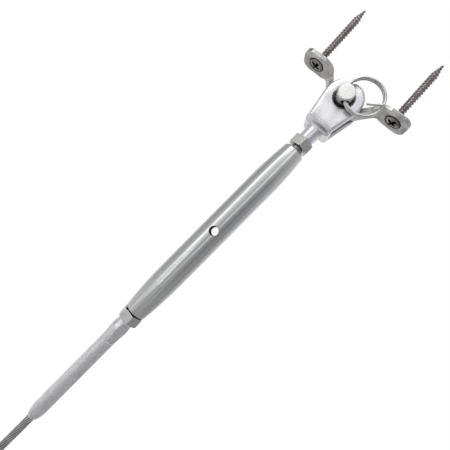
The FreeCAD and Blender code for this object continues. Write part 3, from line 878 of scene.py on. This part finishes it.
class TURNBUCKLE_OT_camera(bpy.types.Operator):
    """Place the camera at the viewing angle of the photograph"""
    bl_idname = "turnbuckle.camera"
    bl_label = "Place Camera"

    def execute(self, context):
        view = context.scene.turnbuckle_camera
        ahead = math.cos(view.turn) * AXIS_Y - math.sin(view.turn) * CHAIN_SIDE
        aside = math.cos(view.turn) * CHAIN_SIDE + math.sin(view.turn) * AXIS_Y
        gaze = math.cos(view.tilt) * ahead + math.sin(view.tilt) * CHAIN_UP
        up = math.cos(view.tilt) * CHAIN_UP - math.sin(view.tilt) * ahead
        right = math.cos(view.roll) * up + math.sin(view.roll) * aside
        top = math.sin(view.roll) * up - math.cos(view.roll) * aside
        data = bpy.data.cameras.new("Camera")
        data.lens = view.lens
        data.sensor_width = 36
        data.clip_start = 0.005
        data.clip_end = 10
        camera = link_object("Camera", data)
        place = chain_point(0, -view.aim) + aside * view.aside - gaze * view.distance
        turn = Matrix((right, top, -gaze)).transposed().to_4x4()
        camera.matrix_world = Matrix.Translation(place) @ turn
        context.scene.camera = camera
        return {"FINISHED"}


def route_line():
    # The wire's centreline as points read from its own smooth curve
    curve = bpy.data.curves.new("wire_route", "CURVE")
    curve.dimensions = "3D"
    curve.resolution_u = 24
    spline = curve.splines.new("NURBS")
    spline.points.add(len(WIRE_ROUTE) - 1)
    for point, (x, z) in zip(spline.points, WIRE_ROUTE):
        point.co = (*chain_point(x, z), 1)
    spline.order_u = 3
    spline.use_endpoint_u = True
    return plain_mesh(link_object("wire_route", curve))


class TURNBUCKLE_OT_wire(bpy.types.Operator):
    """Wind the strand of wire that leaves the swaged barrel"""
    bl_idname = "turnbuckle.wire"
    bl_label = "Make Wire"

    def execute(self, context):
        sizes = context.scene.turnbuckle_wire
        material = rope_steel(context.scene.turnbuckle_finishes)
        route = route_line()
        mesh = run_tree("wire_strand", wire_tree(), {
            "Outer wires": sizes.outer_wires,
            "Inner wires": sizes.inner_wires,
            "Radius": WIRE_RADIUS,
            "Lay": sizes.lay,
            "Material": material,
        }, route)
        mesh.shade_smooth()
        piece = link_object("wire_strand", mesh)
        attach(piece, "stud_body")
        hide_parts("wire_rope")
        return {"FINISHED"}


class TURNBUCKLE_OT_threads(bpy.types.Operator):
    """Cut the right-hand and left-hand threads on the fork's and the stud's shanks"""
    bl_idname = "turnbuckle.threads"
    bl_label = "Make Shank Threads"

    def execute(self, context):
        sizes = context.scene.turnbuckle_threads
        material = thread_steel(context.scene.turnbuckle_finishes)
        fork_tip = BODY_MIDDLE + sizes.end_gap
        stud_tip = BODY_MIDDLE - sizes.end_gap
        flip = Matrix.Rotation(math.pi, 4, "X")
        for name, start, length, hand, turn, body, slot in (
            ("fork_thread", NECK_END, NECK_END - fork_tip, 1.0, flip, "fork_body", "bright_fork"),
            ("stud_thread", SWAGE_TOP, stud_tip - SWAGE_TOP, -1.0, Matrix(), "stud_body",
             "swaged_barrel"),
        ):
            mesh = ridge_mesh(
                name, chain_matrix(start) @ turn, material,
                crest_radius=sizes.crest, root_radius=sizes.root, pitch=sizes.pitch,
                length=length, tip_length=sizes.pitch, hand=hand,
                half_width=SHANK_RIDGE * sizes.pitch, points_per_turn=36)
            piece = link_object(name, mesh)
            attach(piece, body)
        return {"FINISHED"}


def cross_bar(shape, sizes, crown, turn):
    # One bar of the cross, from over the head's crown down to the recess's floor
    spin = Matrix.Rotation(turn, 3, "Z")
    rings = []
    for way in (-1, 1):
        share = 1 - way * RECESS_TAPER
        half_span = sizes.recess_span / 2 * share
        half_width = sizes.recess_width / 2 * share
        z = crown + way * sizes.recess_depth
        rings.append([
            shape.verts.new(spin @ Vector((x * half_span, y * half_width, z)))
            for x, y in ((-1, -1), (1, -1), (1, 1), (-1, 1))])
    low_ring, top_ring = rings
    shape.faces.new(reversed(low_ring))
    shape.faces.new(top_ring)
    for index in range(4):
        after = (index + 1) % 4
        shape.faces.new((low_ring[index], low_ring[after], top_ring[after], top_ring[index]))


def recess_cutter(sizes, centre, crown):
    # A cross that narrows towards its floor, standing a little proud of the head's crown
    shape = bmesh.new()
    for turn in (0, math.pi / 2):
        cross_bar(shape, sizes, crown, turn + sizes.recess_turn)
    bmesh.ops.translate(shape, verts=shape.verts, vec=centre)
    bmesh.ops.recalc_face_normals(shape, faces=shape.faces)
    return link_object("recess_cutter", drawn_mesh("recess_cutter", shape))


def screw_profile(sizes, head, crown, point):
    # Radii and heights of a raised countersunk head, a shank and a thread's root with its tip
    rim = crown + sizes.head_rise
    rise = sizes.head_rise - sizes.lip
    edge = head - sizes.lip
    dome = (edge ** 2 + rise ** 2) / (2 * rise)
    profile = []
    for step in range(DOME_STEPS + 1):
        angle = math.asin(edge / dome) * step / DOME_STEPS
        profile.append((dome * math.sin(angle), crown + dome * (1 - math.cos(angle))))
    for step in range(LIP_STEPS):
        angle = math.pi / 2 * (step + 1) / LIP_STEPS
        profile.append((edge + sizes.lip * math.sin(angle), rim - sizes.lip * math.cos(angle)))
    neck = rim + head - SCREW_RADIUS
    return profile + [
        (SCREW_RADIUS, neck), (sizes.root, neck + SCREW_RADIUS), (sizes.root, point - sizes.tip),
        (POINT_RADIUS, point - 2 * POINT_RADIUS), (0, point)]


def turned_mesh(name, profile, centre):
    # The profile spun once round an upright axis through the centre
    shape = bmesh.new()
    points = [shape.verts.new((radius, 0, z)) for radius, z in profile]
    edges = [shape.edges.new(pair) for pair in zip(points, points[1:])]
    bmesh.ops.spin(
        shape, geom=points + edges, cent=(0, 0, 0), axis=(0, 0, 1), angle=2 * math.pi,
        steps=TURN_STEPS, use_duplicate=False)
    bmesh.ops.remove_doubles(shape, verts=shape.verts, dist=MERGE_DISTANCE)
    bmesh.ops.recalc_face_normals(shape, faces=shape.faces)
    bmesh.ops.translate(shape, verts=shape.verts, vec=centre)
    return drawn_mesh(name, shape)


def screw_blank(node, sizes):
    # The whole screw without its ridge
    low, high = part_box(node)
    centre = Vector(((low.x + high.x) / 2, 0, 0))
    profile = screw_profile(sizes, (high.x - low.x) / 2, low.z, high.z)
    blank = link_object(node + "_blank", turned_mesh(node + "_blank", profile, centre))
    cutter = recess_cutter(sizes, centre, low.z)
    cut = blank.modifiers.new("Recess", "BOOLEAN")
    cut.operation = "DIFFERENCE"
    cut.solver = "EXACT"
    cut.use_self = True
    cut.object = cutter
    mesh = plain_mesh(blank)
    bpy.data.objects.remove(cutter)
    return mesh


def threaded_screw(name, node, side, sizes, head_material, thread_material):
    # The blank and its ridge as one mesh, with a finish of its own for the head
    low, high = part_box(node)
    start = sizes.thread_start
    place = Matrix.Translation((side * SCREW_SPACING / 2, 0, start))
    ridge = ridge_mesh(
        name + "_ridge", place, thread_material,
        crest_radius=SCREW_RADIUS, root_radius=sizes.root, pitch=sizes.pitch,
        length=high.z - start - RIDGE_GAP, tip_length=sizes.tip, hand=1.0,
        half_width=SCREW_RIDGE * sizes.pitch, points_per_turn=32)
    joined = bmesh.new()
    joined.from_mesh(screw_blank(node, sizes))
    joined.from_mesh(ridge)
    for face in joined.faces:
        face.material_index = int(face.calc_center_median().z > 0)
        face.smooth = True
    mesh = drawn_mesh(name, joined)
    mesh.materials.append(head_material)
    mesh.materials.append(thread_material)
    mesh.set_sharp_from_angle(angle=SHARP_ANGLE)
    return link_object(name, mesh)


class TURNBUCKLE_OT_screws(bpy.types.Operator):
    """Make both wood screws with their threads"""
    bl_idname = "turnbuckle.screws"
    bl_label = "Make Screws"

    def execute(self, context):
        sizes = context.scene.turnbuckle_screws
        head_material = screw_head_steel(context.scene.turnbuckle_finishes)
        # Painted shade round the rim of each head
        low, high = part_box("screw_left")
        paint_rim_shade(head_material, (high.x - low.x) / 2)
        thread_material = screw_steel(context.scene.turnbuckle_finishes)
        for name, node, side in (
            ("threaded_screw_left", "screw_left", -1),
            ("threaded_screw_right", "screw_right", 1),
        ):
            piece = threaded_screw(name, node, side, sizes, head_material, thread_material)
            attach(piece, "base")
            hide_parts(node)
        return {"FINISHED"}


class TURNBUCKLE_OT_finishes(bpy.types.Operator):
    """Give the solid pieces their steel finishes"""
    bl_idname = "turnbuckle.finishes"
    bl_label = "Apply Finishes"

    def execute(self, context):
        finishes = context.scene.turnbuckle_finishes
        nut = nut_steel(finishes)
        materials = {
            "turnbuckle_body": body_steel(finishes),
            "fork": fork_steel(finishes),
            "deck_saddle": saddle_steel(finishes),
            "swage_stud": barrel_steel(finishes),
            "upper_locknut": nut,
            "lower_locknut": nut,
            "clevis_pin": pin_steel(finishes),
            "split_ring": ring_steel(finishes),
        }
        for node, material in materials.items():
            slots = frame["nodes"][node].data.materials
            for index in range(len(slots)):
                slots[index] = material
        return {"FINISHED"}


def room_tone(tree, heading, shade):
    # Seen straight on the room is plain white, and its tone shows in reflections alone
    tone = placed(tree, "Room tone", {"Heading": heading, "Shade": shade})
    rays = add_node(tree, "ShaderNodeLightPath").outputs
    shown = math_node(tree, "MAXIMUM", tone, rays["Is Camera Ray"])
    return shown, colour_mix(tree, shown, SHADE_COLOUR, WHITE)


def shown_rays(tree):
    # One for the rays that show the room, seen straight on, mirrored or through glass
    rays = add_node(tree, "ShaderNodeLightPath").outputs
    shown = math_node(tree, "MAXIMUM", rays["Is Camera Ray"], rays["Is Glossy Ray"])
    return math_node(tree, "MAXIMUM", shown, rays["Is Transmission Ray"])


def floor_material(shade):
    # Pale, and brightened for the rays that show the room, so that only shadows mark it
    material = bpy.data.materials.new("Floor")
    material.use_nodes = True
    tree = material.node_tree
    tree.nodes.clear()
    from_object = vector_node(
        tree, "SUBTRACT", object_place(tree), chain_point(0, BODY_MIDDLE))
    tone, tint = room_tone(tree, vector_node(tree, "NORMALIZE", from_object), shade)
    grey = (FLOOR_GREY, FLOOR_GREY, FLOOR_GREY, 1)
    matte = add_node(tree, "ShaderNodeBsdfDiffuse", {"Color": grey})
    missing = math_node(tree, "MAXIMUM", math_node(tree, "SUBTRACT", tone, FLOOR_LIT), 0.0)
    glow = math_node(tree, "MULTIPLY", missing, shown_rays(tree))
    shine = add_node(tree, "ShaderNodeEmission", {"Strength": glow, "Color": tint})
    both = add_node(
        tree, "ShaderNodeAddShader", {0: matte.outputs[0], 1: shine.outputs[0]})
    add_node(tree, "ShaderNodeOutputMaterial", {"Surface": both.outputs[0]})
    return material


def make_room(shade):
    world = bpy.data.worlds.new("Room")
    bpy.context.scene.world = world
    world.use_nodes = True
    tree = world.node_tree
    tree.nodes.clear()
    heading = add_node(tree, "ShaderNodeTexCoord").outputs["Generated"]
    tone, tint = room_tone(tree, heading, shade)
    shown = shown_rays(tree)
    hidden = math_node(tree, "MULTIPLY", math_node(tree, "SUBTRACT", 1.0, shown), ROOM_LIGHT)
    seen = math_node(tree, "MULTIPLY", tone, shown)
    background = add_node(
        tree, "ShaderNodeBackground",
        {"Strength": math_node(tree, "ADD", seen, hidden), "Color": tint})
    add_node(tree, "ShaderNodeOutputWorld", {"Surface": background.outputs[0]})


def area_lamp(name, height, direction, distance, width, length, brightness, lean=0.0):
    # A soft box facing a height on the chain, with its long side upright or leaning
    data = bpy.data.lights.new(name, "AREA")
    data.shape = "RECTANGLE"
    data.size = width
    data.size_y = length
    data.energy = brightness * math.pi * width * length
    lamp = link_object(name, data)
    towards = Vector(direction).normalized()
    upright = towards.to_track_quat("Z", "Y").to_matrix().to_4x4()
    turn = Matrix.Rotation(lean, 4, towards) @ upright
    lamp.matrix_world = Matrix.Translation(chain_point(0, height) + towards * distance) @ turn


class TURNBUCKLE_OT_stage(bpy.types.Operator):
    """Lay the floor and set the soft lamps and the pale room"""
    bl_idname = "turnbuckle.stage"
    bl_label = "Set Stage"

    def execute(self, context):
        stage = context.scene.turnbuckle_stage
        shape = bmesh.new()
        bmesh.ops.create_circle(shape, cap_ends=True, segments=96, radius=stage.floor_radius)
        mesh = drawn_mesh("floor", shape)
        mesh.transform(Matrix.Translation((0, 0, loaded_box[0].z - stage.floor_drop)))
        mesh.materials.append(floor_material(stage.shade))
        floor = link_object("floor", mesh)
        make_room(stage.shade)
        for lamp in LAMPS:
            area_lamp(**lamp)
        context.scene.view_settings.view_transform = "Standard"
        return {"FINISHED"}


class TURNBUCKLE_PT_panel(bpy.types.Panel):
    """Sizes, colours and steps of the turnbuckle"""
    bl_idname = "TURNBUCKLE_PT_panel"
    bl_label = "Swage Turnbuckle"
    bl_space_type = "VIEW_3D"
    bl_region_type = "UI"
    bl_category = "Turnbuckle"

    def draw(self, context):
        for name, kind, operator in STEPS:
            box = self.layout.box()
            values = getattr(context.scene, name)
            for key in kind.__annotations__:
                box.prop(values, key)
            box.operator(operator.bl_idname)


# Each group of settings with its name on the scene and the operator that uses it
STEPS = (
    ("turnbuckle_camera", TurnbuckleCamera, TURNBUCKLE_OT_camera),
    ("turnbuckle_wire", TurnbuckleWire, TURNBUCKLE_OT_wire),
    ("turnbuckle_threads", TurnbuckleThreads, TURNBUCKLE_OT_threads),
    ("turnbuckle_screws", TurnbuckleScrews, TURNBUCKLE_OT_screws),
    ("turnbuckle_finishes", TurnbuckleFinishes, TURNBUCKLE_OT_finishes),
    ("turnbuckle_stage", TurnbuckleStage, TURNBUCKLE_OT_stage),
)


def register():
    for name, kind, operator in STEPS:
        bpy.utils.register_class(kind)
        bpy.utils.register_class(operator)
        setattr(bpy.types.Scene, name, PointerProperty(type=kind))
    bpy.utils.register_class(TURNBUCKLE_PT_panel)


def unregister():
    bpy.utils.unregister_class(TURNBUCKLE_PT_panel)
    for name, kind, operator in reversed(STEPS):
        delattr(bpy.types.Scene, name)
        bpy.utils.unregister_class(operator)
        bpy.utils.unregister_class(kind)


def main():
    register()
    # The camera and the wire come first, and the stage last
    bpy.ops.turnbuckle.camera()
    bpy.ops.turnbuckle.wire()
    bpy.ops.turnbuckle.threads()
    bpy.ops.turnbuckle.screws()
    bpy.ops.turnbuckle.finishes()
    bpy.ops.turnbuckle.stage()


if __name__ == "__main__":
    main()
